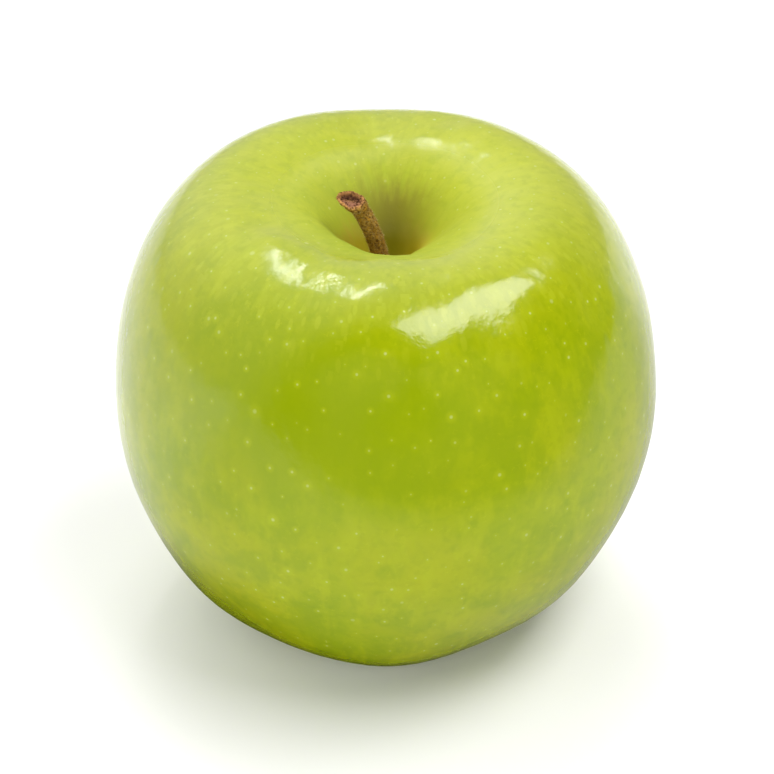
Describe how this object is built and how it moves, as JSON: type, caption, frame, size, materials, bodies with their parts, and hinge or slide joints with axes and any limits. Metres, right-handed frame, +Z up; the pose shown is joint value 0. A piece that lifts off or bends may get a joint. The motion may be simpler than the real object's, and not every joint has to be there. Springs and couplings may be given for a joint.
{
  "type": "green apple",
  "caption": "Whole round green apple with a deep stalk cavity, a leaning woody stalk and a dried calyx underneath, standing on its lobed foot.",
  "frame": {"origin": "on the fruit's axis, in the plane that its foot stands on", "axes": "+Z up along the fruit's axis, from the calyx to the stalk; the stalk leans towards -X"},
  "size_m": [0.076, 0.076, 0.0678],
  "materials": {
    "skin": "waxy yellow-green skin with pale lenticels, faint pale streaks and an olive-brown stalk cavity",
    "bark": "dull olive-brown bark with fine fuzz and a dark torn scar at its end",
    "dried_leaf": "dull, dry and brown with pale hairs"
  },
  "bodies": {
    "root": {"fruit": "skin", "stalk": "bark", "calyx": "dried_leaf"}
  },
  "joints": []
}
